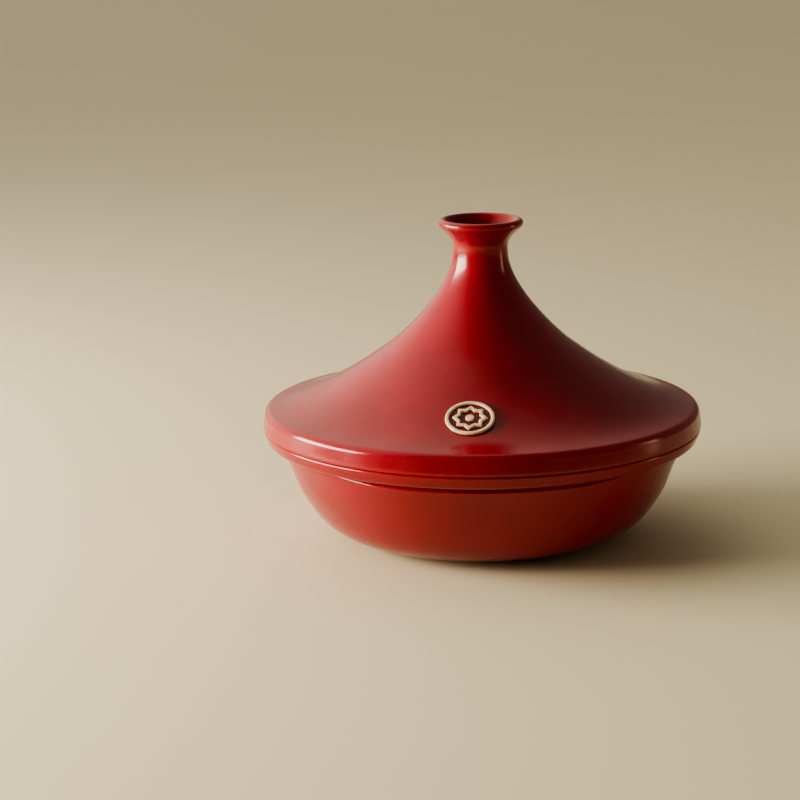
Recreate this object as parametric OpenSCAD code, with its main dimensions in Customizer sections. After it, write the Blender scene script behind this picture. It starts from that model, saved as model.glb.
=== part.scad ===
// Tagine pot: a shallow round cooking dish with a lift-off conical lid. The lid ends in a
// flared hollow knob and carries a round clay medallion on its front slope.
// Millimetres. +Z is up, the foot stands on z = 0, and the axis of the pot is the Z axis.
// The medallion faces -Y and the two finger scoops are on the -X and +X sides.

/* [Overall] */
// Outer diameter of the lid at its rim
rim_d = 326; // [260:1:400]
// Height of the dish, from the foot to the seat of the lid
dish_h = 83.5; // [62:0.5:110]
// Height of the lid, from its seat to the top of the knob
lid_h = 154; // [136:1:210]

/* [Dish] */
// How far the dish's rim stands inside the lid's rim
rim_step = 0.6; // [0:0.1:2]
// Thickness of the dish wall under the rim
dish_wall_top = 9; // [8:0.5:12]
// Thickness of the dish wall at the foot
dish_wall_foot = 7; // [5:0.5:9]
// Outer radius of the foot ring
foot_r = 84; // [60:1:100]
// Width of the foot ring
foot_w = 9; // [6:0.5:14]
// Height of the foot ring below the curve of the bowl
foot_h = 1.2; // [0.8:0.1:3]
// Depth of the underside inside the foot ring
foot_recess = 1.5; // [0.8:0.1:2.5]
// Height of the rim flange, from its seat to its underside
flange_h = 10; // [8:0.5:16]
// How far the rim flange stands out from the wall below it
flange_over = 8; // [6.5:0.5:16]
// Height of the groove between the flange and the wall
groove_h = 3.5; // [2:0.5:6]
// Depth of that groove
groove_depth = 1.6; // [0.8:0.1:3]

/* [Finger scoops] */
// Depth of each scoop at its middle, just below the flange
scoop_depth = 5.1; // [3:0.1:6]
// Height of each scoop at its middle
scoop_h = 31; // [24:1:40]
// Angle from the middle of a scoop to each of its tips
scoop_half_angle = 59; // [40:1:70]

/* [Lid] */
// Thickness of the lid's wall
lid_wall = 6; // [4.5:0.5:8]
// Height of the upright band at the lid's rim
band_h = 10; // [8:0.5:16]
// How far the band leans in towards its top
band_lean = 1.3; // [0:0.1:3]
// Radius of the shoulder above the band
shoulder_r = 5.5; // [4:0.5:16]
// Radius of the cone where its slope changes
waist_r = 68; // [60:1:85]
// Height of that point above the seat
waist_h = 61; // [50:1:75]
// Radius of the neck, the narrowest place of the lid
neck_r = 20; // [18:0.5:26]
// Distance from the top of the knob down to the neck
neck_drop = 24; // [20:0.5:30]

/* [Locating ring] */
// Clearance between the lid's locating ring and the mouth of the dish
ring_gap = 1.5; // [0.8:0.1:3]
// Depth of the locating ring below the seat
ring_depth = 6; // [4:0.5:10]
// Thickness of the locating ring
ring_wall = 6; // [4:0.5:8]
// Width of the flat seat under the lid
seat_w = 11; // [9:0.5:16]

/* [Knob cup] */
// Outer radius of the knob's mouth
knob_r = 31.4; // [26:0.2:38]
// Radius of the rounded lip of the knob
lip_r = 3.3; // [2:0.1:4]
// Depth of the hollow in the knob
cup_depth = 36; // [30:1:44]
// Thickness of the cup's wall at the neck
cup_wall = 6; // [5:0.5:7]

/* [Medallion] */
// Outer radius of the medallion
medal_r = 17.5; // [14:0.5:24]
// Width of the medallion's raised ring
medal_ring_w = 2.7; // [2:0.1:4]
// Depth of the flat seat in the lid that holds the medallion
medal_seat = 1.2; // [1:0.1:2]
// Height of the medallion's ground above the slope of the lid
medal_ground = 0.9; // [0.6:0.1:1.5]
// Height of the ring and the star above the ground
medal_relief = 1.7; // [0.8:0.1:2.5]
// Clearance between the star's points and the raised ring
star_gap = 2.3; // [1:0.1:3]
// Width of the star's outline
star_w = 2.4; // [1.5:0.1:3]
// Radius of the dot in the middle of the star
star_dot_r = 3.2; // [2:0.1:4]
// Clearance round the medallion in its seat
medal_gap = 0.1; // [0.05:0.05:0.3]
// Turn of the medallion from the front of the pot, towards -X
medal_turn = 4; // [0:1:20]

/* [Hidden] */
$fn = 96;

glaze_red = [0.56, 0.05, 0.06];
bare_clay = [0.86, 0.76, 0.62];

// Rounded edges, and the number of steps along each kind of curve
edge_r = 1.6;
mouth_edge_r = 2;
steps = 14;
upper_steps = 18;
flare_steps = 8;
lip_steps = 10;
arc_steps = 6;

// Radii that follow from the rim
lid_rim_r = rim_d / 2;
dish_rim_r = lid_rim_r - rim_step;
seat_in_r = lid_rim_r - edge_r - seat_w;
wall_top_r = dish_rim_r - flange_over;

// Slopes of the dish's wall, in degrees from level, and how strongly each end holds its slope
wall_top_slope = 60;
wall_foot_slope = 12.6;
wall_top_pull = 0.66;
wall_foot_pull = 0.42;

// Slopes of the lid and the pull of each end of its curves
shoulder_turn = 82;
waist_slope = 35;
flare_slope = 42;

// Place of the medallion along the lower slope, from 0 at the shoulder to 1 at the waist
medal_along = 0.358;

function unit(v) = v / norm(v);
function heading(a) = [cos(a), sin(a)];
function left_of(v) = [-v[1], v[0]];
function bend(p, t) = pow(1 - t, 3) * p[0] + 3 * pow(1 - t, 2) * t * p[1]
    + 3 * (1 - t) * t * t * p[2] + pow(t, 3) * p[3];
function bend_way(p, t) = unit(pow(1 - t, 2) * (p[1] - p[0]) + 2 * (1 - t) * t * (p[2] - p[1])
    + t * t * (p[3] - p[2]));

// A smooth curve from a to b that leaves a along way_a and arrives at b along way_b.
// Each pull is the hold of that end, as a share of the distance from a to b.
function sweep(a, way_a, pull_a, b, way_b, pull_b) =
    [a, a + way_a * pull_a * norm(b - a), b - way_b * pull_b * norm(b - a), b];
function along(p, n = steps) = [for (i = [0:n]) bend(p, i / n)];
// The same curve moved sideways to its left, by t0 at its start and t1 at its end
function beside(p, t0, t1, from = 0, to = 1, n = steps) = [
    for (i = [0:n]) let (t = from + (to - from) * i / n)
        bend(p, t) + left_of(bend_way(p, t)) * (t0 + (t1 - t0) * i / n)
];
function arc(centre, r, a0, a1, n = arc_steps) =
    [for (i = [0:n]) centre + r * heading(a0 + (a1 - a0) * i / n)];

// Curves of the dish, in the plane of radius and height
wall_top = [wall_top_r, dish_h - flange_h - groove_h];
wall_foot = [foot_r, foot_h];
wall_curve = sweep(wall_foot, heading(wall_foot_slope), wall_foot_pull,
    wall_top, heading(wall_top_slope), wall_top_pull);
// Radius of the flange's rounded underside, and how far its middle stands out from the wall
flange_round = flange_h / 2;
flange_root = 1.4;
flange_low = [wall_top_r + flange_root, dish_h - flange_h + flange_round];
flange_high = [dish_rim_r - edge_r, dish_h - edge_r];
// The sloping face of the flange touches both of its rounded edges
face_run = flange_high - flange_low;
face_turn = atan2(face_run[1], face_run[0]) - 90 + asin((flange_round - edge_r) / norm(face_run));
mouth_r = seat_in_r;

// Curves of the lid, with heights counted from the seat
shoulder_centre = [lid_rim_r - band_lean - shoulder_r, band_h];
shoulder_end = shoulder_centre + shoulder_r * heading(shoulder_turn);
waist = [waist_r, waist_h];
neck = [neck_r, lid_h - neck_drop];
lip_centre = [knob_r - lip_r, lid_h - lip_r];
lip_start = lip_centre + lip_r * heading(flare_slope - 90);
lip_end_angle = 150;
lip_end = lip_centre + lip_r * heading(lip_end_angle);
lower_slope = sweep(shoulder_end, heading(shoulder_turn + 90), 0.37,
    waist, heading(180 - waist_slope), 0.08);
upper_slope = sweep(waist, heading(180 - waist_slope), 0.083, neck, heading(90), 0.33);
flare = sweep(neck, heading(90), 0.31, lip_start, heading(flare_slope), 0.75);
cup_r = neck_r - cup_wall;
cup_floor = lid_h - cup_depth;
cup_round = 7;
cup_side = sweep(lip_end, heading(lip_end_angle + 90), 0.55,
    [cup_r, neck[1]], heading(-90), 0.3);
// Share of the upper slope that the hollow under the lid follows, and the point where it ends
hollow_reach = 0.66;
hollow_end = bend(upper_slope, hollow_reach)
    + left_of(bend_way(upper_slope, hollow_reach)) * lid_wall;
// Thickness of clay between the cup's floor and the top of the hollow
cup_base = 8;
// Round corner of the hollow behind the band, a wall's thickness below the shoulder
cove_r = 6;
cove_turn = 65;
cove_rise = 2.4;
ring_r = mouth_r - ring_gap;
ring_in_r = ring_r - ring_wall;
ring_taper = 2;
cove_top = band_h + shoulder_r - lid_wall + cove_rise;
cove_centre = [ring_in_r - cove_r / 2, cove_top - cove_r * sin(cove_turn)];

// The slope of the lid where the medallion sits
medal_at = bend(lower_slope, medal_along);
medal_tilt = atan2(bend_way(lower_slope, medal_along)[1], -bend_way(lower_slope, medal_along)[0]);
medal_ring_in_r = medal_r - medal_ring_w;
star_r = medal_ring_in_r - star_gap;
// Height of the cutter for the medallion's seat, and how far other cutters run past a face
pocket_cut_h = 12;
past = 1;

// Outline of the solid wall of the dish: the underside, the outside, the rim and the inside
function dish_outline() = concat(
    [[0, foot_recess], [foot_r - foot_w - foot_recess, foot_recess], [foot_r - foot_w, 0],
     [foot_r - foot_h / 2, 0], [foot_r, foot_h / 2]],
    along(wall_curve),
    [[wall_top_r - groove_depth, dish_h - flange_h - groove_h / 3]],
    [[wall_top_r - groove_depth, dish_h - flange_h]],
    arc(flange_low, flange_round, -90, face_turn),
    arc(flange_high, edge_r, face_turn, 90),
    arc([mouth_r + mouth_edge_r, dish_h - mouth_edge_r], mouth_edge_r, 90, 160),
    inside_of_dish(),
    [[0, dish_wall_foot + foot_recess]]
);
// Inside of the dish, from the mouth down to the edge of the flat floor
function inside_of_dish() = let (side = beside(wall_curve, dish_wall_foot, dish_wall_top))
    [for (i = [steps:-1:0]) side[i]];

// Outline of the lid: the seat, the outside, the knob's cup, the hollow and the locating ring
function lid_outline() = concat(
    arc([lid_rim_r - edge_r, edge_r], edge_r, -90, 0),
    arc(shoulder_centre, shoulder_r, 0, shoulder_turn, lip_steps),
    tail(along(lower_slope)),
    tail(along(upper_slope, upper_steps)),
    tail(along(flare, flare_steps)),
    tail(arc(lip_centre, lip_r, flare_slope - 90, lip_end_angle, lip_steps)),
    tail(along(cup_side, flare_steps)),
    arc([cup_r - cup_round, cup_floor + cup_round], cup_round, 0, -90),
    [[0, cup_floor]],
    along(sweep([0, cup_floor - cup_base], [1, 0], 0.4,
        hollow_end, -bend_way(upper_slope, hollow_reach), 0.35), arc_steps),
    [for (i = [upper_steps - 1:-1:0])
        beside(upper_slope, lid_wall, lid_wall, 0, hollow_reach, upper_steps)[i]],
    [for (i = [steps - 1:-1:2]) beside(lower_slope, lid_wall, lid_wall)[i]],
    arc(cove_centre, cove_r, cove_turn, 0),
    [[ring_in_r, edge_r], [ring_in_r, edge_r - ring_depth]],
    [[ring_in_r + edge_r, -ring_depth], [ring_r - ring_taper - edge_r, -ring_depth]],
    [[ring_r - ring_taper, edge_r - ring_depth], [ring_r, 0]]
);
// A list without its first point, so that curves that meet share one point
function tail(list) = [for (i = [1:len(list) - 1]) list[i]];

// Finger scoops. The bowl is cut by a second bowl whose axis stands off the axis of the pot,
// so the cut is deepest at the side and runs out to a pointed tip at each end.
// The tips lie a little below the top of the scoop, so they take a share of its full depth.
scoop_tip_share = 0.96;
scoop_shift = scoop_depth * scoop_tip_share / (1 - cos(scoop_half_angle));
scoop_steps = 8;
// How fast a scoop runs out downwards, and where it starts below the wall's top
scoop_fade = 1.3;
scoop_start = 1;
// The cutter's top stays this far under the flange, opens this much there, and reaches this far out
scoop_top_gap = 0.3;
scoop_top_in = 1.5;
scoop_reach = 20;
scoop_top = dish_h - flange_h - scoop_top_gap;
// Height of a point of the scoop, and its depth below the wall's curve there
function scoop_z(u) = wall_top[1] - scoop_start - u * (scoop_h - scoop_start);
function scoop_cut(u) = scoop_depth * (1 - pow(u, scoop_fade));
// Radius of the wall's curve at height z
function wall_r(z, lo = 0, hi = 1, n = 16) = let (mid = (lo + hi) / 2)
    n == 0 ? bend(wall_curve, mid)[0]
    : bend(wall_curve, mid)[1] < z ? wall_r(z, mid, hi, n - 1) : wall_r(z, lo, mid, n - 1);
function scoop_point(u) =
    [wall_r(scoop_z(u)) - scoop_cut(u) + scoop_shift, scoop_z(u)];

module scoop() {
    outer = dish_rim_r + scoop_shift + scoop_reach;
    top_in = scoop_point(0)[0] + scoop_top_in;
    rotate_extrude($fn = 96)
        polygon(concat(
            [for (i = [0:scoop_steps]) scoop_point(i / scoop_steps)],
            [[outer, scoop_z(1)], [outer, scoop_top], [top_in, scoop_top]]
        ));
}

module dish() {
    color(glaze_red)
    difference() {
        rotate_extrude($fn = 96) polygon(dish_outline());
        for (side = [-1, 1]) translate([-side * scoop_shift, 0, 0]) scoop();
    }
}

// Places its children on the slope of the lid, with z along the slope's outward normal
module on_slope() {
    rotate([0, 0, -medal_turn])
        translate([0, -medal_at[0], dish_h + medal_at[1]])
            rotate([medal_tilt, 0, 0])
                children();
}

module lid() {
    color(glaze_red)
    difference() {
        translate([0, 0, dish_h]) rotate_extrude($fn = 96) polygon(lid_outline());
        on_slope() translate([0, 0, -medal_seat]) cylinder(h = pocket_cut_h, r = medal_r + medal_gap);
    }
}

module medallion_plaque() {
    color(glaze_red * 0.8)
    on_slope() translate([0, 0, -medal_seat]) cylinder(h = medal_seat + medal_ground, r = medal_r);
}

module medallion_ring() {
    color(bare_clay)
    on_slope() translate([0, 0, medal_ground])
        difference() {
            cylinder(h = medal_relief, r = medal_r);
            translate([0, 0, -past]) cylinder(h = medal_relief + 2 * past, r = medal_ring_in_r);
        }
}

// Two equal squares, one turned by an eighth of a turn
module eight_points(r) {
    for (a = [0, 45]) rotate(a) square(r * sqrt(2), center = true);
}

module medallion_star() {
    color(bare_clay)
    on_slope() translate([0, 0, medal_ground]) {
        linear_extrude(medal_relief) difference() {
            eight_points(star_r);
            eight_points(star_r - star_w * sqrt(2));
        }
        cylinder(h = medal_relief, r = star_dot_r);
    }
}

dish();
lid();
medallion_plaque();
medallion_ring();
medallion_star();
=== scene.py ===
import logging
import math
from dataclasses import dataclass, field
from enum import Enum
from typing import Callable, Sequence

import bpy
import numpy as np
from mathutils import Matrix, Vector


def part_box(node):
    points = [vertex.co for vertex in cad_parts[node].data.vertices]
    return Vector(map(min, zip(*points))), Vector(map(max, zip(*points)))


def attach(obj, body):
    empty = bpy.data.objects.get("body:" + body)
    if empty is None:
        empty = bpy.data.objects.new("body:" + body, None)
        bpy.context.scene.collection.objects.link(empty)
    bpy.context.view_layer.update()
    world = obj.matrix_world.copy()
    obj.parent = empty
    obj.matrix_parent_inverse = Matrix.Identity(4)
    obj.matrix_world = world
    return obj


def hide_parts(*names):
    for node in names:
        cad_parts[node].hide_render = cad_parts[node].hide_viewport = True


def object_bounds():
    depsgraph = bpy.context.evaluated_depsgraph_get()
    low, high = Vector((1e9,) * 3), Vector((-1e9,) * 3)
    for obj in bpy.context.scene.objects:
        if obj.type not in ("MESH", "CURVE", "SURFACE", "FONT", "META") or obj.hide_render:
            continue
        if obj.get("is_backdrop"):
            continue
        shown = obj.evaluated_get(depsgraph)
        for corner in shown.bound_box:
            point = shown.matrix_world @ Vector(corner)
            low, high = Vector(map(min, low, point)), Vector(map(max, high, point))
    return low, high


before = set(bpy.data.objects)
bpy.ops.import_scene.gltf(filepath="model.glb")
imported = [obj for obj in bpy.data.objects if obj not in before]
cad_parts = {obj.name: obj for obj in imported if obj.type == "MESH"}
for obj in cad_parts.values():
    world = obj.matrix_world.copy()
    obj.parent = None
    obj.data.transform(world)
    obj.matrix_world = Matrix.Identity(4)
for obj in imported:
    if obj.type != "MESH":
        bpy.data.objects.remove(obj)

log = logging.getLogger("tagine")

Point = tuple[float, float]
Colour = tuple[float, float, float]

MM = 0.001
TURN_STEPS = 192


class Body(Enum):
    """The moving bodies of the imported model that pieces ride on."""

    BASE = "base"
    COVER = "cover"


class Slot(Enum):
    """The material slots of the record."""

    DISH_GLAZE = "dish_glaze"
    LID_GLAZE = "lid_glaze"
    MEDALLION_GLAZE = "medallion_glaze"
    BARE_CLAY = "bare_clay"


class Mark(Enum):
    """Per-point attributes that tell a finish where the surface differs."""

    # Lighter edges: thinner glaze there, with a painted highlight along them.
    THIN = "glaze_thin_and_highlight"
    # Painted shade in grooves, corners, hollows and at the foot of relief.
    POOLED = "painted_hollow_shade"
    BARE = "bare_clay"


# ---------------------------------------------------------------- drawing of outlines


def heading(angle: float) -> Point:
    """Returns the unit step at an angle in degrees."""
    return (math.cos(math.radians(angle)), math.sin(math.radians(angle)))


def ahead(start: Point, way: Point, run: float) -> Point:
    """Returns the point that lies a run from start along a way."""
    return (start[0] + way[0] * run, start[1] + way[1] * run)


@dataclass(frozen=True)
class Sweep:
    """A smooth curve that leaves one point and reaches another along set headings.

    Attributes:
        start: Where the curve begins, as radius and height in millimetres.
        leave: The heading at the start, in degrees.
        leave_pull: How long the start holds its heading, as a share of the chord.
        end: Where the curve ends.
        arrive: The heading at the end, in degrees.
        arrive_pull: How long the end holds its heading, as a share of the chord.
    """

    start: Point
    leave: float
    leave_pull: float
    end: Point
    arrive: float
    arrive_pull: float

    def handles(self) -> tuple[Point, Point, Point, Point]:
        """Returns the four control points of the curve."""
        chord = math.dist(self.start, self.end)
        return (
            self.start,
            ahead(self.start, heading(self.leave), self.leave_pull * chord),
            ahead(self.end, heading(self.arrive), -self.arrive_pull * chord),
            self.end,
        )

    def at(self, t: float) -> Point:
        """Returns the point at a share t of the way.

        Args:
            t: Share of the way, from 0 to 1.

        Returns:
            The point.
        """
        a, b, c, d = self.handles()
        k = (1 - t) ** 3, 3 * (1 - t) ** 2 * t, 3 * (1 - t) * t * t, t ** 3
        return tuple(k[0] * a[i] + k[1] * b[i] + k[2] * c[i] + k[3] * d[i] for i in (0, 1))

    def way(self, t: float) -> Point:
        """Returns the unit direction of travel at a share t of the way.

        Args:
            t: Share of the way, from 0 to 1.

        Returns:
            The direction.
        """
        a, b, c, d = self.handles()
        k = (1 - t) ** 2, 2 * (1 - t) * t, t * t
        v = [k[0] * (b[i] - a[i]) + k[1] * (c[i] - b[i]) + k[2] * (d[i] - c[i]) for i in (0, 1)]
        run = math.hypot(*v)
        return (v[0] / run, v[1] / run)

    def points(self, count: int, ease: float = 1.0) -> list[Point]:
        """Returns points along the curve.

        Args:
            count: How many spans the curve is divided into.
            ease: Above 1, the spans get shorter towards the end.

        Returns:
            The points, both ends included.
        """
        return [self.at(1 - (1 - i / count) ** ease) for i in range(count + 1)]

    def beside(self, first: float, last: float, count: int, reach: float = 1.0) -> list[Point]:
        """Returns the curve moved sideways to its left, as the far face of a wall.

        Args:
            first: Thickness of the wall at the start, in millimetres.
            last: Thickness of the wall at the end of the reach.
            count: How many spans the result has.
            reach: The share of the curve that is followed.

        Returns:
            The points of the far face, both ends included.
        """
        made = []
        for i in range(count + 1):
            t = reach * i / count
            side = self.way(t)
            made.append(ahead(self.at(t), (-side[1], side[0]), first + (last - first) * i / count))
        return made


def arc(centre: Point, radius: float, first: float, last: float, count: int) -> list[Point]:
    """Returns points round an arc, between two angles in degrees."""
    return [ahead(centre, heading(first + (last - first) * i / count), radius)
            for i in range(count + 1)]


def softened(corners: Sequence[Point], radius: float) -> list[Point]:
    """Rounds the inner corners of a broken line.

    Args:
        corners: The points of the line.
        radius: How far from each corner its rounding starts, in millimetres.

    Returns:
        The line with three points in place of each inner corner.
    """
    made = [corners[0]]
    for before, corner, after in zip(corners, corners[1:], corners[2:]):
        cut = min(radius, math.dist(before, corner) / 2.2, math.dist(corner, after) / 2.2)
        a = ahead(corner, unit(corner, before), cut)
        b = ahead(corner, unit(corner, after), cut)
        middle = tuple((a[i] + 2 * corner[i] + b[i]) / 4 for i in (0, 1))
        made += [a, middle, b]
    return made + [corners[-1]]


def unit(start: Point, end: Point) -> Point:
    """Returns the unit step from one point towards another."""
    run = math.dist(start, end)
    return ((end[0] - start[0]) / run, (end[1] - start[1]) / run)


def thinned(points: Sequence[Point], least: float = 0.12) -> list[Point]:
    """Returns the points without those that lie on the one before.

    Args:
        points: The points of a line.
        least: The shortest step that is kept, in millimetres.

    Returns:
        The points that are left.
    """
    made = [points[0]]
    for p in points[1:]:
        if math.dist(p, made[-1]) >= least:
            made.append(p)
    return made


# ---------------------------------------------------------------- work at the bench


def clear_bench() -> None:
    """Leaves edit mode and deselects everything."""
    if bpy.context.object is not None and bpy.context.object.mode != "OBJECT":
        bpy.ops.object.mode_set(mode="OBJECT")
    bpy.ops.object.select_all(action="DESELECT")


def hold(piece: bpy.types.Object) -> None:
    """Makes one piece the only one selected and the active one.

    Args:
        piece: The piece that is worked on next.
    """
    clear_bench()
    piece.select_set(True)
    bpy.context.view_layer.objects.active = piece


def apply_modifier(piece: bpy.types.Object, kind: str, **settings: object) -> None:
    """Adds a modifier to a piece and applies it.

    Args:
        piece: The piece that is worked on.
        kind: Blender's name of the modifier type.
        **settings: Values set on the modifier before it is applied.
    """
    hold(piece)
    modifier = piece.modifiers.new(kind.lower(), kind)
    for name, value in settings.items():
        setattr(modifier, name, value)
    bpy.ops.object.modifier_apply(modifier=modifier.name)


def turned(name: str, outline: Sequence[Point], smoothing: int = 1,
           steps: int = TURN_STEPS) -> bpy.types.Object:
    """Throws a piece as on a wheel, by spinning its outline about the Z axis.

    Args:
        name: Name of the piece.
        outline: Radius and height of the outline, in millimetres.
        smoothing: Levels of subdivision applied to the spun form.
        steps: How many steps make the full turn.

    Returns:
        The closed piece, with its faces outwards.
    """
    clear_bench()
    line = [Vector((r * MM, 0.0, z * MM)) for r, z in thinned(outline)]
    closed = line[0].x > 0.0 and (line[0] - line[-1]).length < 1e-6
    bpy.ops.mesh.primitive_plane_add(size=0.01, location=(0.0, 0.0, 0.0))
    piece = bpy.context.object
    piece.name = piece.data.name = name
    bpy.ops.object.mode_set(mode="EDIT")
    bpy.ops.mesh.select_mode(type="VERT")
    bpy.ops.mesh.select_all(action="SELECT")
    bpy.ops.mesh.merge(type="CENTER")
    bpy.ops.transform.translate(value=line[0])
    for here, there in zip(line, line[1:]):
        bpy.ops.mesh.extrude_vertices_move(TRANSFORM_OT_translate={"value": there - here})
    bpy.ops.mesh.select_all(action="SELECT")
    if closed:
        bpy.ops.mesh.remove_doubles(threshold=1e-6)
    bpy.ops.mesh.spin(steps=steps, angle=2 * math.pi, center=(0.0, 0.0, 0.0), axis=(0.0, 0.0, 1.0))
    bpy.ops.mesh.select_all(action="SELECT")
    bpy.ops.mesh.remove_doubles(threshold=2e-6)
    bpy.ops.mesh.normals_make_consistent(inside=False)
    bpy.ops.object.mode_set(mode="OBJECT")
    if smoothing:
        apply_modifier(piece, "SUBSURF", levels=smoothing, render_levels=smoothing,
                       use_limit_surface=False)
    bpy.ops.object.shade_smooth()
    return piece


def place(piece: bpy.types.Object, where: Matrix) -> None:
    """Puts a piece in its place and moves the place into its mesh.

    Args:
        piece: The piece that is placed.
        where: Its place.
    """
    hold(piece)
    piece.matrix_world = where
    bpy.ops.object.transform_apply(location=True, rotation=True, scale=True)


def spots(piece: bpy.types.Object) -> tuple[np.ndarray, np.ndarray]:
    """Returns the places and the normals of a piece's vertices, as two N by 3 arrays.

    Args:
        piece: The piece that is read.

    Returns:
        The places in metres, and the unit normals.
    """
    mesh = piece.data
    place_of = np.zeros(len(mesh.vertices) * 3)
    mesh.vertices.foreach_get("co", place_of)
    normal_of = np.zeros(len(mesh.vertices) * 3)
    mesh.vertex_normals.foreach_get("vector", normal_of)
    return place_of.reshape(-1, 3), normal_of.reshape(-1, 3)


def mark(piece: bpy.types.Object, kind: Mark, amount: np.ndarray) -> None:
    """Writes one amount from 0 to 1 for each vertex of a piece.

    Args:
        piece: The piece that is marked.
        kind: Which attribute is written.
        amount: One value for each vertex.
    """
    layer = piece.data.attributes.new(kind.value, "FLOAT", "POINT")
    layer.data.foreach_set("value", np.clip(amount, 0.0, 1.0).astype(np.float32))


def near(value: np.ndarray, centre: float, width: float) -> np.ndarray:
    """Returns 1 where a value is at the centre, falling smoothly to 0 past the width."""
    return np.exp(-(((value - centre) / width) ** 2))


def rises(value: np.ndarray, low: float, high: float) -> np.ndarray:
    """Returns a smooth step from 0 at the low value to 1 at the high one."""
    share = np.clip((value - low) / (high - low), 0.0, 1.0)
    return share * share * (3 - 2 * share)


def hand_over(piece: bpy.types.Object, body: Body, slot: Slot, *nodes: str) -> None:
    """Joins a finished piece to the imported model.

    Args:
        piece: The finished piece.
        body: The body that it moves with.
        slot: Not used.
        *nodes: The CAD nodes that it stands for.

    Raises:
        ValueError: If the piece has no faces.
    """
    if not piece.data.polygons:
        raise ValueError(f"{piece.name} has no faces")
    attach(piece, body.value)
    if nodes:
        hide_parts(*nodes)


# ---------------------------------------------------------------- finishes


class Board:
    """A small helper that lays out the nodes of one material."""

    def __init__(self, name: str) -> None:
        """Starts an empty material with the given name.

        Args:
            name: Name of the material.
        """
        self.material = bpy.data.materials.new(name)
        self.material.use_nodes = True
        self.tree = self.material.node_tree
        self.tree.nodes.clear()
        self.output = self.tree.nodes.new("ShaderNodeOutputMaterial")

    def node(self, kind: str, **inputs: object) -> bpy.types.Node:
        """Adds a node and fills its sockets.

        Args:
            kind: Type name of the node, without its common start.
            **inputs: Values or output sockets, by socket name with _ for a blank.

        Returns:
            The new node.
        """
        made = self.tree.nodes.new("ShaderNode" + kind)
        for name, value in inputs.items():
            self.fill(made.inputs[name.replace("_", " ")], value)
        return made

    def fill(self, socket: bpy.types.NodeSocket, value: object) -> None:
        """Links an output to a socket, or sets the socket's own value.

        Args:
            socket: The socket that is filled.
            value: An output socket, or a plain value.
        """
        if isinstance(value, bpy.types.NodeSocket):
            self.tree.links.new(value, socket)
        else:
            socket.default_value = value

    def noise(self, scale: float, detail: float = 2.0, rough: float = 0.5) -> bpy.types.NodeSocket:
        """Returns a noise value over the object's own coordinates.

        Args:
            scale: Cycles for each metre.
            detail: Number of finer layers.
            rough: Strength of the finer layers.

        Returns:
            The output socket, around 0.5.
        """
        return self.node("TexNoise", Vector=self.place(), Scale=scale, Detail=detail,
                         Roughness=rough).outputs["Fac"]

    def cells(self, scale: float) -> bpy.types.NodeSocket:
        """Returns the distance to the nearest of many scattered points."""
        return self.node("TexVoronoi", Vector=self.place(), Scale=scale).outputs["Distance"]

    def place(self) -> bpy.types.NodeSocket:
        """Returns the object's own coordinates."""
        return self.node("TexCoord").outputs["Object"]

    def marked(self, kind: Mark) -> bpy.types.NodeSocket:
        """Returns the amount that a piece is marked with.

        Args:
            kind: Which attribute is read.

        Returns:
            The output socket.
        """
        made = self.node("Attribute")
        made.attribute_name = kind.value
        return made.outputs["Fac"]

    def fit(self, value: bpy.types.NodeSocket, low: float, high: float, to_low: float,
            to_high: float) -> bpy.types.NodeSocket:
        """Maps a value smoothly from one range to another, and holds it there.

        Args:
            value: The output to map.
            low: Start of the range read.
            high: End of the range read.
            to_low: What the start becomes.
            to_high: What the end becomes.

        Returns:
            The mapped output.
        """
        made = self.node("MapRange")
        made.interpolation_type = "SMOOTHSTEP"
        for name, amount in (("Value", value), ("From Min", low), ("From Max", high),
                             ("To Min", to_low), ("To Max", to_high)):
            self.fill(made.inputs[name], amount)
        return made.outputs["Result"]

    def blend(self, share: bpy.types.NodeSocket, first: object, second: object) -> bpy.types.NodeSocket:
        """Mixes two colours by a share from 0 to 1.

        Args:
            share: How much of the second colour counts.
            first: The colour at 0.
            second: The colour at 1.

        Returns:
            The mixed colour.
        """
        made = self.node("Mix")
        made.data_type = "RGBA"
        for index, value in ((0, share), (6, first), (7, second)):
            self.fill(made.inputs[index], value)
        return made.outputs[2]

    def sum(self, first: object, second: object, how: str = "ADD") -> bpy.types.NodeSocket:
        """Joins two numbers by a named operation.

        Args:
            first: The first number or output.
            second: The second one.
            how: Blender's name of the operation.

        Returns:
            The result.
        """
        made = self.node("Math")
        made.operation = how
        self.fill(made.inputs[0], first)
        self.fill(made.inputs[1], second)
        return made.outputs[0]

    def relief(self, height: bpy.types.NodeSocket, distance: float, strength: float = 1.0,
               under: bpy.types.NodeSocket | None = None) -> bpy.types.NodeSocket:
        """Adds one layer of surface relief on top of another.

        Args:
            height: Height of the relief, from 0 to 1.
            distance: What a height of 1 stands for, in metres.
            strength: How much of the layer counts.
            under: The relief below, if any.

        Returns:
            The normal that the shader reads.
        """
        made = self.node("Bump", Height=height, Distance=distance, Strength=strength)
        if under is not None:
            self.fill(made.inputs["Normal"], under)
        return made.outputs["Normal"]


def tint(colour: Colour) -> tuple[float, float, float, float]:
    """Returns a colour with full alpha."""
    return (*colour, 1.0)


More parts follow.
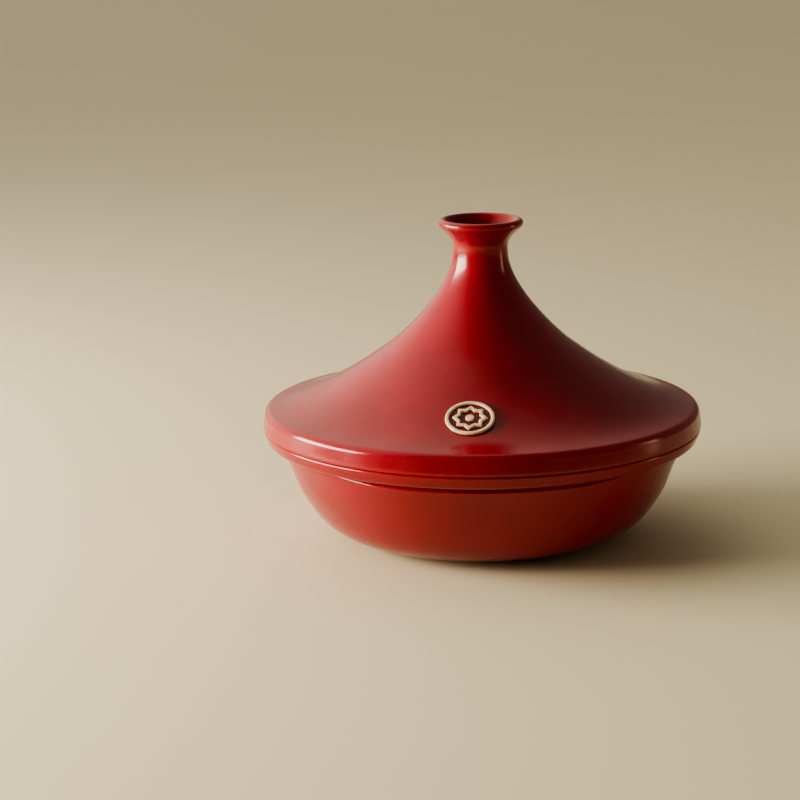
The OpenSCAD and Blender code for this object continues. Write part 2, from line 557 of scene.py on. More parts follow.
@dataclass(frozen=True)
class RedGlaze:
    """A thick glossy red glaze, lighter on edges where it thins and a painted highlight lies, with
    painted shade in hollows.

    Attributes:
        name: Name of the material.
        deep: Colour where the glaze lies thick.
        bright: Colour where it lies even.
        edge: Colour on edges, where the glaze thins and a painted highlight lies.
        fleck_and_shade: Colour of the dark flecks, and of the painted shade in hollows.
        clay: Colour of the body where it was wiped bare.
        gloss: Lowest roughness of the glaze.
        haze: Highest roughness of the glaze, in its duller patches.
    """

    name: str
    deep: Colour = (0.190, 0.0050, 0.0120)
    bright: Colour = (0.265, 0.0075, 0.0180)
    edge: Colour = (0.360, 0.0220, 0.0220)
    fleck_and_shade: Colour = (0.150, 0.0020, 0.0050)
    clay: Colour = (0.600, 0.4300, 0.2700)
    gloss: float = 0.14
    haze: float = 0.25

    def build(self) -> bpy.types.Material:
        """Returns the material with all its nodes."""
        board = Board(self.name)
        clouds = board.fit(board.noise(11.0, 4.0, 0.55), 0.30, 0.70, 0.0, 1.0)
        flecks = board.fit(board.noise(650.0, 2.0, 0.6), 0.60, 0.74, 0.0, 0.30)
        colour = board.blend(clouds, tint(self.deep), tint(self.bright))
        colour = board.blend(flecks, colour, tint(self.fleck_and_shade))
        # Painted shade: darker where the piece marks a hollow, groove or recess.
        colour = board.blend(board.marked(Mark.POOLED), colour, tint(self.fleck_and_shade))
        # Lighter on the marked edges: thinner glaze there, and a painted highlight.
        thin_and_highlight = board.sum(board.marked(Mark.THIN),
                         board.fit(board.noise(140.0, 3.0), 0.35, 0.65, 0.45, 1.0), "MULTIPLY")
        colour = board.blend(thin_and_highlight, colour, tint(self.edge))
        grit = board.fit(board.noise(420.0, 3.0), 0.40, 0.62, 0.0, 0.55)
        body = board.blend(grit, tint(self.clay), tint(tuple(0.55 * c for c in self.clay)))
        bare = board.marked(Mark.BARE)
        colour = board.blend(bare, colour, body)
        polish = board.fit(board.noise(34.0, 5.0, 0.6), 0.35, 0.68, self.gloss, self.haze)
        rough = board.sum(polish, board.sum(bare, 0.62, "MULTIPLY"))
        waves = board.relief(board.noise(24.0, 1.5), 0.00045)
        peel = board.relief(board.noise(210.0, 2.0), 0.000035, 1.0, waves)
        pits = board.fit(board.cells(150.0), 0.03, 0.13, 0.0, 1.0)
        pitted = board.relief(pits, 0.00006, 0.5, peel)
        normal = board.relief(board.sum(grit, bare, "MULTIPLY"), 0.00025, 1.0, pitted)
        shader = board.node("BsdfPrincipled", Base_Color=colour, Roughness=rough, Normal=normal,
                            IOR=1.42, Coat_Weight=0.08, Coat_Roughness=0.05, Coat_IOR=1.5)
        board.fill(board.output.inputs["Surface"], shader.outputs["BSDF"])
        return board.material


@dataclass(frozen=True)
class CreamClay:
    """A matt cream clay with iron specks and stains, with painted shade at the foot of its raised
    relief.

    Attributes:
        name: Name of the material.
        light: Colour of the clay between its stains.
        dark: Colour of the stains, and of the painted shade at the foot of the relief.
        speck: Colour of the iron specks.
        rough: Roughness of the surface.
    """

    name: str
    light: Colour = (0.78, 0.62, 0.42)
    dark: Colour = (0.50, 0.34, 0.19)
    speck: Colour = (0.22, 0.11, 0.05)
    rough: float = 0.62

    def build(self) -> bpy.types.Material:
        """Returns the material with all its nodes."""
        board = Board(self.name)
        grain = board.noise(520.0, 4.0, 0.6)
        stain = board.fit(board.noise(120.0, 3.0), 0.38, 0.66, 0.0, 0.6)
        colour = board.blend(stain, tint(self.light), tint(self.dark))
        specks = board.fit(board.cells(700.0), 0.10, 0.22, 0.75, 0.0)
        colour = board.blend(specks, colour, tint(self.speck))
        # Painted shade at the foot of the relief, where it meets the ground.
        colour = board.blend(board.marked(Mark.POOLED), colour, tint(self.dark))
        rough = board.fit(grain, 0.35, 0.65, self.rough - 0.1, self.rough + 0.14)
        soft = board.relief(board.noise(160.0, 2.0), 0.00012)
        normal = board.relief(grain, 0.00010, 0.9, soft)
        shader = board.node("BsdfPrincipled", Base_Color=colour, Roughness=rough, Normal=normal,
                            IOR=1.45)
        board.fill(board.output.inputs["Surface"], shader.outputs["BSDF"])
        return board.material


@dataclass(frozen=True)
class PaleFloor:
    """A plain pale floor.

    Attributes:
        name: Name of the material.
        colour: Colour of the floor.
    """

    name: str = "pale_floor"
    colour: Colour = (0.68, 0.60, 0.42)

    def build(self) -> bpy.types.Material:
        """Returns the material with all its nodes."""
        board = Board(self.name)
        shade = board.fit(board.noise(3.0, 3.0), 0.3, 0.7, 0.0, 0.10)
        colour = board.blend(shade, tint(self.colour), tint(tuple(0.9 * c for c in self.colour)))
        shader = board.node("BsdfPrincipled", Base_Color=colour, Roughness=0.7)
        board.fill(board.output.inputs["Surface"], shader.outputs["BSDF"])
        return board.material


def dress(piece: bpy.types.Object, material: bpy.types.Material) -> None:
    """Gives a piece its one material."""
    piece.data.materials.clear()
    piece.data.materials.append(material)


# ---------------------------------------------------------------- the dish


@dataclass
class Dish:
    """The round cooking dish, with a flanged rim, a foot ring and two finger scoops.

    All sizes are in millimetres and heights count from the foot.
    """

    height: float
    rim_r: float
    edge: float = 1.6
    foot_r: float = 84.0
    foot_w: float = 9.0
    foot_h: float = 1.2
    foot_recess: float = 1.5
    foot_lift: float = 0.004
    flange_h: float = 10.0
    flange_over: float = 8.0
    flange_round: float = 5.0
    flange_back: float = 1.4
    groove_h: float = 3.5
    groove_depth: float = 1.6
    wall_foot: float = 7.0
    wall_top: float = 9.0
    wall_foot_way: float = 12.6
    wall_foot_pull: float = 0.42
    wall_top_way: float = 60.0
    wall_top_pull: float = 0.66
    mouth_r: float = 150.4
    mouth_round: float = 2.0
    scoop_depth: float = 5.1
    scoop_h: float = 31.0
    scoop_half: float = 59.0
    scoop_soft: float = 0.12
    scoop_tip_share: float = 0.96
    scoop_fade: float = 1.3
    scoop_start: float = 1.0
    scoop_top_in: float = 1.5
    finish: RedGlaze = field(default_factory=lambda: RedGlaze("dish_glaze_red"))

    @property
    def wall_r(self) -> float:
        """Returns the radius at the top of the wall, under the flange."""
        return self.rim_r - self.flange_over

    @property
    def wall_z(self) -> float:
        """Returns the height at the top of the wall."""
        return self.height - self.flange_h - self.groove_h

    @property
    def wall(self) -> Sweep:
        """Returns the outer curve of the wall."""
        return Sweep((self.foot_r, self.foot_h), self.wall_foot_way, self.wall_foot_pull,
                     (self.wall_r, self.wall_z), self.wall_top_way, self.wall_top_pull)

    def outline(self) -> list[Point]:
        """Returns the whole outline, from the axis below to the axis inside."""
        low = (self.wall_r + self.flange_back, self.height - self.flange_h + self.flange_round)
        high = (self.rim_r - self.edge, self.height - self.edge)
        run = (high[0] - low[0], high[1] - low[1])
        lean = (math.degrees(math.atan2(run[1], run[0])) - 90
                + math.degrees(math.asin((self.flange_round - self.edge) / math.hypot(*run))))
        recess, inner = self.foot_recess, self.foot_r - self.foot_w
        foot = softened([(inner - recess - 6, recess), (inner - recess, recess), (inner, self.foot_lift),
                         (self.foot_r - self.foot_h / 2, self.foot_lift), (self.foot_r, self.foot_h / 2),
                         self.wall.at(0.02)], 0.5)
        groove_r, shelf = self.wall_r - self.groove_depth, self.height - self.flange_h
        groove = softened([self.wall.at(0.985), (self.wall_r, self.wall_z),
                           (groove_r, shelf - self.groove_h / 3), (groove_r, shelf),
                           (low[0] - 0.2, shelf)], 0.55)
        mouth = (self.mouth_r + self.mouth_round, self.height - self.mouth_round)
        inside = self.wall.beside(self.wall_foot, self.wall_top, 20)[::-1]
        floor = self.wall_foot + recess
        return ([(0.0, recess), (25.0, recess), (50.0, recess)] + foot
                + self.wall.points(30, 1.25)[1:-1] + groove
                + arc(low, self.flange_round, -84, lean, 6)
                + arc(high, self.edge, lean, 90, 5)
                + [(self.rim_r - 4.5, self.height), (self.mouth_r + 4.5, self.height)]
                + arc(mouth, self.mouth_round, 90, 160, 5)
                + inside + [(inside[-1][0] - 12, floor), (34.0, floor), (0.0, floor)])

    def scoop_amounts(self, places: np.ndarray, side: int) -> np.ndarray:
        """Returns how far each vertex moves in for one finger scoop.

        Args:
            places: The vertices, in metres.
            side: 1 for the scoop on +X, -1 for the one on -X.

        Returns:
            The move along X for each vertex, in millimetres.
        """
        x, y, z = (places / MM).T
        radius = np.hypot(x, y)
        curve = np.array(self.wall.points(400))
        wall_at = np.interp(z, curve[:, 1], curve[:, 0])
        top = self.wall_z - self.scoop_start
        down = np.clip((top - z) / (self.scoop_h - self.scoop_start), 0.0, 1.6)
        cut = self.scoop_depth * (1 - down ** self.scoop_fade)
        base = np.interp(np.minimum(z, top), curve[:, 1], curve[:, 0])
        roof = self.scoop_top_in * np.clip((z - top) / 4.7, 0.0, 1.0)
        spread = 1 - math.cos(math.radians(self.scoop_half))
        shift = self.scoop_depth * self.scoop_tip_share / spread
        facing = np.clip(side * x / np.maximum(radius, 1e-6), 0.0, 1.0)
        depth = radius - (base - cut + roof + shift * (1 - facing))
        soft = self.scoop_soft * np.logaddexp(0.0, depth / self.scoop_soft)
        outer = (radius > wall_at - 3.4) & (z < self.height - self.flange_h - 0.15)
        wanted = outer & (facing > 0.25) & (soft > 0.004)
        return np.where(wanted, soft / np.maximum(facing, 0.25), 0.0)

    def press_scoops(self, piece: bpy.types.Object) -> None:
        """Presses the two finger scoops into the wall of the turned dish.

        Args:
            piece: The turned dish.
        """
        for side in (-1, 1):
            moves = self.scoop_amounts(spots(piece)[0], side)
            most = float(moves.max())
            group = piece.vertex_groups.new(name="scoop")
            for index in np.nonzero(moves)[0]:
                group.add([int(index)], float(moves[index] / most), "REPLACE")
            apply_modifier(piece, "DISPLACE", direction="X", mid_level=0.0,
                           strength=-side * most * MM, vertex_group="scoop")
            piece.vertex_groups.clear()

    def mark_glaze(self, piece: bpy.types.Object) -> None:
        """Marks where the glaze thins on edges under a painted highlight, where painted shade lies, and
        where the glaze is wiped away.

        Args:
            piece: The turned piece.
        """
        places, normals = spots(piece)
        radius = np.hypot(places[:, 0], places[:, 1]) / MM
        z = places[:, 2] / MM
        # Lighter on the rim, the mouth's lip and the ridge at the wall's top: thinner glaze and a
        # painted highlight.
        rim = near(radius, self.rim_r - 0.3, 0.9) * near(z, self.height - 1.3, 1.6)
        lip = near(radius, self.mouth_r + 1.0, 1.6) * near(z, self.height - 0.6, 1.4)
        ridge = near(z, self.wall_z, 1.3) * near(radius, self.wall_r, 1.6)
        mark(piece, Mark.THIN, 0.30 * rim + 0.4 * lip + 0.25 * ridge)
        # Painted shade in the groove under the flange and in the corner above the foot.
        groove = rises(-radius, -(self.wall_r + 0.6), -(self.wall_r - 1.2)) * near(
            z, self.height - self.flange_h - 0.6, 1.5) * (radius > self.wall_r - 9)
        corner = near(z, self.foot_h, 1.2) * near(radius, self.foot_r + 1.0, 2.0) * 0.4
        mark(piece, Mark.POOLED, 0.75 * groove + corner)
        under = rises(-z, -0.85, -0.35) * (radius > self.foot_r - self.foot_w - 0.6) * (
            radius < self.foot_r + 0.3)
        seat = rises(normals[:, 2], 0.985, 0.998) * (z > self.height - 0.25) * (
            radius > self.mouth_r + 2.4) * (radius < self.rim_r - 1.9)
        mark(piece, Mark.BARE, under + seat)

    def build(self) -> list[bpy.types.Object]:
        """Models and dresses the dish, and returns its pieces."""
        piece = turned("dish_body", self.outline())
        self.press_scoops(piece)
        self.mark_glaze(piece)
        dress(piece, self.finish.build())
        hand_over(piece, Body.BASE, Slot.DISH_GLAZE, "dish")
        return [piece]


# ---------------------------------------------------------------- the lid


@dataclass
class Lid:
    """The conical lid, with a hollow flared knob and a locating ring under its rim.

    All sizes are in millimetres, and heights count from the seat unless said.
    """

    seat_z: float
    rim_r: float
    height: float
    edge: float = 1.6
    seat_w: float = 11.0
    wall: float = 6.0
    band_h: float = 10.0
    band_lean: float = 1.3
    shoulder_r: float = 5.5
    shoulder_turn: float = 82.0
    waist_r: float = 68.0
    waist_h: float = 61.0
    waist_way: float = 145.0
    shoulder_pull: float = 0.37
    waist_pull_below: float = 0.08
    waist_pull_above: float = 0.083
    neck_pull: float = 0.33
    flare_pull: float = 0.31
    lip_pull: float = 0.75
    cup_top_pull: float = 0.55
    cup_low_pull: float = 0.3
    dome_pull: float = 0.4
    dome_end_pull: float = 0.35
    neck_r: float = 20.0
    neck_drop: float = 24.0
    knob_r: float = 31.4
    lip_r: float = 3.3
    lip_end: float = 150.0
    flare_way: float = 42.0
    cup_depth: float = 36.0
    cup_wall: float = 6.0
    cup_round: float = 7.0
    cup_base: float = 8.0
    hollow_reach: float = 0.66
    cove_r: float = 6.0
    cove_turn: float = 65.0
    cove_rise: float = 2.4
    ring_gap: float = 1.5
    ring_wall: float = 6.0
    ring_depth: float = 6.0
    ring_taper: float = 2.0
    finish: RedGlaze = field(default_factory=lambda: RedGlaze("lid_glaze_red"))

    @property
    def shoulder_centre(self) -> Point:
        """Returns the centre of the shoulder's arc."""
        return (self.rim_r - self.band_lean - self.shoulder_r, self.band_h)

    @property
    def lower_slope(self) -> Sweep:
        """Returns the outer curve from the shoulder to the waist."""
        start = ahead(self.shoulder_centre, heading(self.shoulder_turn), self.shoulder_r)
        return Sweep(start, self.shoulder_turn + 90, self.shoulder_pull, (self.waist_r, self.waist_h),
                     self.waist_way, self.waist_pull_below)

    @property
    def neck(self) -> Point:
        """Returns the narrowest place of the lid."""
        return (self.neck_r, self.height - self.neck_drop)

    @property
    def upper_slope(self) -> Sweep:
        """Returns the outer curve from the waist to the neck."""
        return Sweep((self.waist_r, self.waist_h), self.waist_way, self.waist_pull_above,
                     self.neck, 90.0, self.neck_pull)

    @property
    def lip_centre(self) -> Point:
        """Returns the centre of the rounded lip of the knob."""
        return (self.knob_r - self.lip_r, self.height - self.lip_r)

    def outside(self) -> list[Point]:
        """Returns the outside, from the seat's edge up to the lip of the knob."""
        lip = arc(self.lip_centre, self.lip_r, self.flare_way - 90, self.lip_end, 10)
        flare = Sweep(self.neck, 90.0, self.flare_pull, lip[0], self.flare_way, self.lip_pull)
        return (arc((self.rim_r - self.edge, self.edge), self.edge, -90, 0, 5)
                + arc(self.shoulder_centre, self.shoulder_r, 0, self.shoulder_turn, 9)
                + self.lower_slope.points(12)[1:] + self.upper_slope.points(17)[1:]
                + flare.points(9)[1:] + lip[1:])

    def cup(self) -> list[Point]:
        """Returns the hollow of the knob, from its lip down to the axis."""
        end = ahead(self.lip_centre, heading(self.lip_end), self.lip_r)
        radius, floor = self.neck_r - self.cup_wall, self.height - self.cup_depth
        side = Sweep(end, self.lip_end + 90, self.cup_top_pull,
                     (radius, self.neck[1]), -90.0, self.cup_low_pull)
        return (side.points(8)[1:]
                + arc((radius - self.cup_round, floor + self.cup_round), self.cup_round, 0, -90, 5)
                + [(3.0, floor), (0.0, floor)])

    def hollow(self) -> list[Point]:
        """Returns the underside, from the axis out to the locating ring."""
        end = self.upper_slope.beside(self.wall, self.wall, 1, self.hollow_reach)[1]
        way = self.upper_slope.way(self.hollow_reach)
        back = math.degrees(math.atan2(-way[1], -way[0]))
        dome = Sweep((0.0, self.height - self.cup_depth - self.cup_base), 0.0, self.dome_pull,
                     end, back, self.dome_end_pull)
        return (dome.points(6)
                + self.upper_slope.beside(self.wall, self.wall, 12, self.hollow_reach)[-2::-1]
                + self.lower_slope.beside(self.wall, self.wall, 9)[-2:1:-1]
                + arc(self.cove_centre, self.cove_r, self.cove_turn, 0, 6)[:-1])

    @property
    def cove_centre(self) -> Point:
        """Returns the centre of the round corner behind the band."""
        top = self.band_h + self.shoulder_r - self.wall + self.cove_rise
        return (self.ring_in_r - self.cove_r / 2, top - self.cove_r * heading(self.cove_turn)[1])

    @property
    def ring_in_r(self) -> float:
        """Returns the inner radius of the locating ring."""
        return self.ring_out_r - self.ring_wall

    @property
    def ring_out_r(self) -> float:
        """Returns the outer radius of the locating ring."""
        return self.rim_r - self.edge - self.seat_w - self.ring_gap

    def ring(self) -> list[Point]:
        """Returns the locating ring and the flat seat, out to the seat's edge."""
        inner, outer = self.ring_in_r, self.ring_out_r - self.ring_taper
        low = -self.ring_depth
        return softened([(inner + self.cove_r / 2, self.cove_centre[1]),
                         (inner, self.edge), (inner, low + self.edge), (inner + self.edge, low),
                         (outer - self.edge, low), (outer, low + self.edge),
                         (self.ring_out_r, 0.0), (self.rim_r - self.edge - 3.0, 0.0),
                         (self.rim_r - self.edge, 0.0)], 0.6)

    def outline(self) -> list[Point]:
        """Returns the whole outline, with heights from the foot of the pot."""
        line = self.outside() + self.cup() + self.hollow() + self.ring()
        axis = next(i for i, p in enumerate(line) if p[0] == 0.0)
        turned_line = line[axis + 1:] + line[:axis + 1]
        return [(r, z + self.seat_z) for r, z in turned_line]

    def mark_glaze(self, piece: bpy.types.Object) -> None:
        """Marks where the glaze thins on edges under a painted highlight, where painted shade lies, and
        where the glaze is wiped away.

        Args:
            piece: The turned piece.
        """
        places, normals = spots(piece)
        radius = np.hypot(places[:, 0], places[:, 1]) / MM
        z = places[:, 2] / MM - self.seat_z
        # Lighter on the knob's lip and the rim's lower edge: thinner glaze and a painted highlight.
        lip = near(z, self.height, 1.5) * near(radius, self.knob_r - self.lip_r, 2.6)
        rim = near(z, 1.2, 1.3) * near(radius, self.rim_r, 1.2)
        mark(piece, Mark.THIN, 0.50 * lip + 0.25 * rim)
        # Painted shade inside the hollow of the knob.
        inside = (radius < self.neck_r - 1.0) * rises(-z, -(self.height - self.cup_depth + 12),
                                                      -(self.height - self.cup_depth))
        cup = inside * (z > self.height - self.cup_depth - 1.5)
        mark(piece, Mark.POOLED, 0.8 * cup)
        seat = rises(-normals[:, 2], 0.985, 0.998) * near(z, 0.0, 0.25) * (
            radius > self.ring_out_r + 0.8) * (radius < self.rim_r - 2.0)
        mark(piece, Mark.BARE, seat)

    def build(self) -> list[bpy.types.Object]:
        """Models and dresses the lid, and returns its pieces."""
        piece = turned("lid_body", self.outline())
        self.mark_glaze(piece)
        dress(piece, self.finish.build())
        hand_over(piece, Body.COVER, Slot.LID_GLAZE, "lid")
        return [piece]


# ---------------------------------------------------------------- the medallion


@dataclass
class Medallion:
    """The round clay medallion on the lid's front slope: a ground, a ring and a star.

    All sizes are in millimetres, and heights count from the slope of the lid.
    """

    lid: Lid
    radius: float = 17.5
    ring_w: float = 2.7
    seat: float = 1.2
    ground: float = 0.9
    relief: float = 1.7
    star_gap: float = 2.3
    star_w: float = 2.4
    dot_r: float = 3.2
    turn: float = 4.0
    along: float = 0.358
    sunk: float = 0.3
    # The ground's red is the lid's glaze painted darker, as shade in the recess inside the ring.
    ground_finish: RedGlaze = field(default_factory=lambda: RedGlaze(
        "medallion_glaze_shaded_red", deep=(0.12, 0.004, 0.008), bright=(0.20, 0.006, 0.012)))
    clay_finish: CreamClay = field(default_factory=lambda: CreamClay("medallion_cream_clay"))

    def where(self) -> Matrix:
        """Returns the place of the medallion, with Z along the slope's outward normal."""
        spot, way = self.lid.lower_slope.at(self.along), self.lid.lower_slope.way(self.along)
        tilt = math.atan2(way[1], -way[0])
        lift = Vector((0.0, -spot[0] * MM, (spot[1] + self.lid.seat_z) * MM))
        return (Matrix.Rotation(math.radians(-self.turn), 4, "Z") @ Matrix.Translation(lift)
                @ Matrix.Rotation(tilt, 4, "X"))

    def build_ground(self) -> bpy.types.Object:
        """Returns the glazed disc that the relief stands on."""
        line = [(0.0, self.ground), (6.0, self.ground), (self.radius - 1.4, self.ground)]
        line += arc((self.radius - 0.9, self.ground - 0.7), 0.7, 90, 0, 4)
        line += [(self.radius - 0.1, -self.seat + 0.4), (self.radius - 0.5, -self.seat),
                 (6.0, -self.seat), (0.0, -self.seat)]
        piece = turned("medallion_ground", line, steps=96)
        place(piece, self.where())
        self.mark_from_axis(piece)
        dress(piece, self.ground_finish.build())
        return piece

    def build_ring(self, clay: bpy.types.Material) -> bpy.types.Object:
        """Returns the raised ring, rounded on both of its edges.

        Args:
            clay: The finish.

        Returns:
            The ring.
        """
        inner, outer = self.radius - self.ring_w, self.radius
        low, top = self.ground - self.sunk, self.ground + self.relief
        line = ([(inner, low)] + arc((inner + 0.7, top - 0.7), 0.7, 180, 90, 4)
                + arc((outer - 0.9, top - 0.9), 0.9, 90, 0, 5) + [(outer, low), (inner, low)])
        piece = turned("medallion_ring_clay", line, steps=96)
        place(piece, self.where())
        self.mark_from_axis(piece)
        dress(piece, clay)
        return piece

    def build_star(self, clay: bpy.types.Material) -> bpy.types.Object:
        """Returns the raised outline of the eight-pointed star.

        Args:
            clay: The finish.

        Returns:
            The star.
        """
        clear_bench()
        reach = (self.radius - self.ring_w - self.star_gap) * MM
        bpy.ops.mesh.primitive_circle_add(vertices=16, radius=reach, fill_type="NGON")
        piece = bpy.context.object
        piece.name = piece.data.name = "medallion_star_clay"
        half_point = 22.5
        notch = math.cos(math.radians(2 * half_point)) / math.cos(math.radians(half_point))
        bpy.ops.object.mode_set(mode="EDIT")
        bpy.ops.mesh.select_all(action="DESELECT")
        bpy.ops.object.mode_set(mode="OBJECT")
        for vertex in piece.data.vertices:
            turn = math.degrees(math.atan2(vertex.co.y, vertex.co.x)) % (2 * half_point)
            vertex.select = abs(turn - half_point) < 1.0
        bpy.ops.object.mode_set(mode="EDIT")
        bpy.ops.mesh.select_mode(type="VERT")
        bpy.ops.transform.resize(value=(notch, notch, 1.0), center_override=(0.0, 0.0, 0.0))
        bpy.ops.mesh.select_all(action="SELECT")
        bpy.ops.mesh.select_mode(type="FACE")
        bpy.ops.mesh.inset(thickness=self.star_w * MM, depth=0.0)
        bpy.ops.mesh.delete(type="FACE")
        bpy.ops.mesh.select_all(action="SELECT")
        bpy.ops.mesh.extrude_region_move(
            TRANSFORM_OT_translate={"value": (0.0, 0.0, (self.relief + self.sunk) * MM)})
        bpy.ops.mesh.select_all(action="SELECT")
        bpy.ops.mesh.normals_make_consistent(inside=False)
        bpy.ops.object.mode_set(mode="OBJECT")
        apply_modifier(piece, "BEVEL", width=0.45 * MM, segments=3, limit_method="ANGLE",
                       angle_limit=math.radians(30))
        place(piece, self.where() @ Matrix.Translation((0, 0, (self.ground - self.sunk) * MM)))
        bpy.ops.object.shade_smooth_by_angle(angle=math.radians(35))
        self.mark_from_axis(piece)
        dress(piece, clay)
        return piece

    def build_dot(self, clay: bpy.types.Material) -> bpy.types.Object:
        """Returns the domed dot in the middle of the star.

        Args:
            clay: The finish.

        Returns:
            The dot.
        """
        low, top = self.ground - self.sunk, self.ground + self.relief
        line = ([(0.0, top), (self.dot_r - 1.2, top - 0.03)]
                + arc((self.dot_r - 0.8, top - 0.85), 0.8, 80, 0, 4)
                + [(self.dot_r, low), (0.0, low)])
        piece = turned("medallion_dot_clay", line, steps=64)
        place(piece, self.where())
        self.mark_from_axis(piece)
        dress(piece, clay)
        return piece

    def mark_from_axis(self, piece: bpy.types.Object) -> None:
        """Paints shade on the low places of the medallion: all of the ground, and the foot of the ring,
        the star and the dot.

        Args:
            piece: A piece of the medallion.
        """
        back = np.array(self.where().inverted())
        local = (spots(piece)[0] @ back[:3, :3].T + back[:3, 3]) / MM
        # Painted shade, darker on the ground and at the foot of the relief.
        mark(piece, Mark.POOLED, 0.8 * rises(-local[:, 2], -(self.ground + 0.8), -self.ground))
        for kind in (Mark.THIN, Mark.BARE):
            mark(piece, kind, np.zeros(len(local)))

    def build(self) -> list[bpy.types.Object]:
        """Models and dresses the medallion, and returns its pieces."""
        clay = self.clay_finish.build()
        ground, ring = self.build_ground(), self.build_ring(clay)
        star, dot = self.build_star(clay), self.build_dot(clay)
        hand_over(ground, Body.COVER, Slot.MEDALLION_GLAZE, "medallion_plaque")
        hand_over(ring, Body.COVER, Slot.BARE_CLAY, "medallion_ring")
        hand_over(star, Body.COVER, Slot.BARE_CLAY, "medallion_star")
        hand_over(dot, Body.COVER, Slot.BARE_CLAY)
        return [ground, ring, star, dot]


# ---------------------------------------------------------------- the studio


def outward(azimuth: float, elevation: float) -> Vector:
    """Returns the unit step from the pot towards a light.

    Args:
        azimuth: Degrees from the front, positive towards +X.
        elevation: Degrees above the level.

    Returns:
        The direction.
    """
    a, e = math.radians(azimuth), math.radians(elevation)
    return Vector((math.sin(a) * math.cos(e), -math.cos(a) * math.cos(e), math.sin(e)))


@dataclass(frozen=True)
class SoftBox:
    """One soft light, aimed at the middle of the pot.

    Attributes:
        name: Name of the light.
        azimuth: Degrees from the front, positive towards +X.
        elevation: Degrees above the level.
        distance: Metres from the middle of the pot.
        width: Width of the box in metres.
        height: Height of the box in metres.
        power: Watts.
        colour: Colour of the light.
    """

    name: str
    azimuth: float
    elevation: float
    distance: float
    width: float
    height: float
    power: float
    colour: Colour

    def build(self, middle: Vector) -> None:
        """Adds the light, turned to the middle of the pot.

        Args:
            middle: The middle of the pot, in metres.
        """
        out = outward(self.azimuth, self.elevation)
        data = bpy.data.lights.new(self.name, "AREA")
        data.shape, data.size, data.size_y = "RECTANGLE", self.width, self.height
        data.energy, data.color = self.power, self.colour
        lamp = bpy.data.objects.new(self.name, data)
        lamp.location = middle + out * self.distance
        lamp.rotation_euler = (-out).to_track_quat("-Z", "Y").to_euler()
        bpy.context.scene.collection.objects.link(lamp)


@dataclass(frozen=True)
class SoftLobe:
    """A broad part of the air that glows, fading smoothly to its edge.

    Attributes:
        azimuth: Degrees from the front, positive towards +X.
        elevation: Degrees above the level.
        reach: Degrees from the middle of the glow to its edge.
        strength: Strength of the glow at its middle.
    """

    azimuth: float
    elevation: float
    reach: float
    strength: float

    def build(self, world: bpy.types.World, base: float) -> None:
        """Adds the glow to a world that has an even light of the base strength.

        Args:
            world: The world that is lit.
            base: Strength of the air away from the glow.
        """
        tree = world.node_tree
        place = tree.nodes.new("ShaderNodeTexCoord")
        facing = tree.nodes.new("ShaderNodeVectorMath")
        facing.operation = "DOT_PRODUCT"
        facing.inputs[1].default_value = outward(self.azimuth, self.elevation)
        fade = tree.nodes.new("ShaderNodeMapRange")
        fade.interpolation_type = "SMOOTHSTEP"
        fade.inputs["From Min"].default_value = math.cos(math.radians(self.reach))
        fade.inputs["To Min"].default_value = base
        fade.inputs["To Max"].default_value = self.strength
        tree.links.new(place.outputs["Generated"], facing.inputs[0])
        tree.links.new(facing.outputs["Value"], fade.inputs["Value"])
        tree.links.new(fade.outputs["Result"], tree.nodes["Background"].inputs["Strength"])


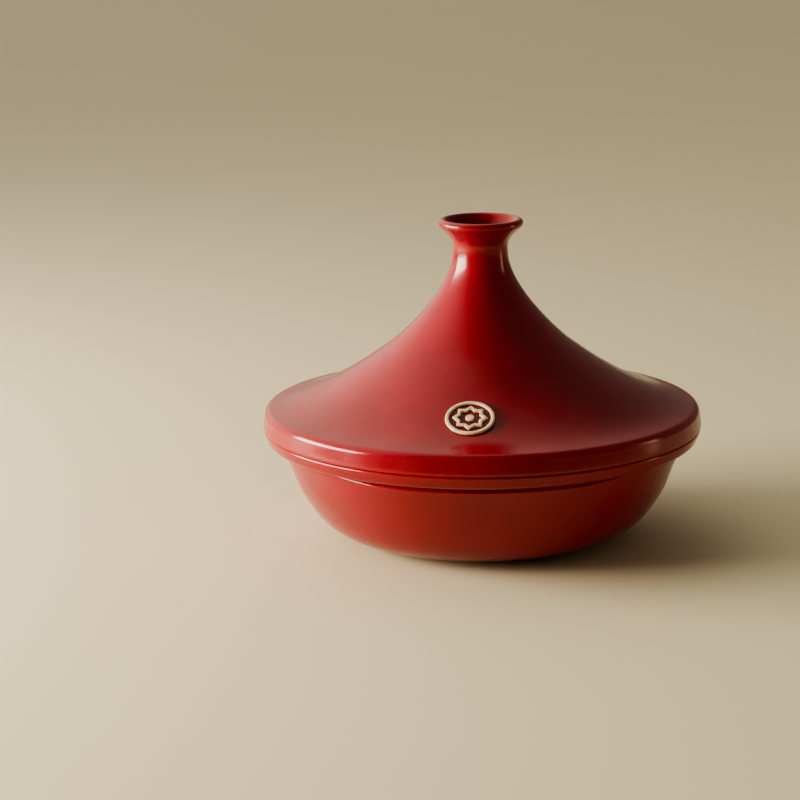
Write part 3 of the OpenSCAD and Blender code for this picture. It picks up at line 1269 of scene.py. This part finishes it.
@dataclass
class Studio:
    """The camera, the pale floor and the soft lights.

    Attributes:
        eye: Where the camera stands, in metres.
        pitch: Degrees that the camera looks down.
        yaw: Degrees that the camera looks to the left.
        roll: Degrees that the camera leans, clockwise as seen from behind it.
        lens: Focal length in millimetres on a 36 mm sensor.
        air: Colour of the light all round.
        air_power: Strength of the light all round.
        boxes: The soft lights near the pot.
        lobe: The broad glow of the air on one side.
    """

    eye: tuple[float, float, float] = (0.0, -1.8168, 0.5222)
    pitch: float = 13.045
    yaw: float = 1.919
    roll: float = 0.761
    lens: float = 112.5
    air: Colour = (0.95, 0.88, 0.70)
    air_power: float = 0.16
    boxes: tuple[SoftBox, ...] = (
        SoftBox("window_box", azimuth=-86, elevation=12, distance=1.6, width=1.30, height=0.60,
                power=80, colour=(1.0, 0.90, 0.74)),
        SoftBox("side_panel", azimuth=94, elevation=8, distance=1.7, width=0.26, height=0.70,
                power=1.9, colour=(1.0, 0.74, 0.48)),
    )
    lobe: SoftLobe = SoftLobe(azimuth=-125, elevation=28, reach=68, strength=1.5)

    def build_camera(self) -> None:
        """Adds the camera at the wanted viewing angle."""
        data = bpy.data.cameras.new("view_camera")
        data.lens, data.sensor_width = self.lens, 36.0
        data.clip_start, data.clip_end = 0.01, 100.0
        camera = bpy.data.objects.new("view_camera", data)
        camera.location = self.eye
        aim = (Matrix.Rotation(math.radians(self.yaw), 3, "Z")
               @ Matrix.Rotation(math.radians(90 - self.pitch), 3, "X")
               @ Matrix.Rotation(math.radians(-self.roll), 3, "Z"))
        camera.rotation_euler = aim.to_euler()
        bpy.context.scene.collection.objects.link(camera)
        bpy.context.scene.camera = camera

    def build_floor(self, level: float) -> None:
        """Adds the wide pale floor at a level.

        Args:
            level: Height of the floor, in metres.
        """
        clear_bench()
        bpy.ops.mesh.primitive_plane_add(size=12.0, location=(0.0, 0.0, level))
        floor = bpy.context.object
        floor.name = floor.data.name = "studio_floor"
        dress(floor, PaleFloor().build())
        floor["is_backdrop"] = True

    def build_air(self) -> None:
        """Lights the scene softly from all round, and keeps its dark tones deep."""
        world = bpy.data.worlds.new("studio_air")
        world.use_nodes = True
        sky = world.node_tree.nodes["Background"]
        sky.inputs["Color"].default_value = tint(self.air)
        self.lobe.build(world, self.air_power)
        bpy.context.scene.world = world
        bpy.context.scene.view_settings.look = "AgX - Medium High Contrast"

    def build(self, low: Vector, high: Vector) -> None:
        """Sets up the whole studio round a box given by two corners.

        Args:
            low: The lower corner.
            high: The upper corner.
        """
        self.build_camera()
        self.build_floor(low.z)
        self.build_air()
        for box in self.boxes:
            box.build((low + high) / 2)


# ---------------------------------------------------------------- the whole pot


def main() -> None:
    """Builds every sub-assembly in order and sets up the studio."""
    logging.basicConfig(level=logging.INFO, format="%(name)s: %(message)s")
    cad_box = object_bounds()
    dish_high, lid_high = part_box("dish")[1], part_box("lid")[1]
    seat_z = dish_high.z / MM
    dish = Dish(height=seat_z, rim_r=dish_high.x / MM)
    lid = Lid(seat_z=seat_z, rim_r=lid_high.x / MM, height=lid_high.z / MM - seat_z)
    builders: list[Callable[[], list[bpy.types.Object]]] = [
        dish.build, lid.build, Medallion(lid).build]
    for build in builders:
        for piece in build():
            piece.data.calc_loop_triangles()
            log.info("%s: %d triangles", piece.name, len(piece.data.loop_triangles))
    Studio().build(*cad_box)
    clear_bench()


if __name__ == "__main__":
    main()
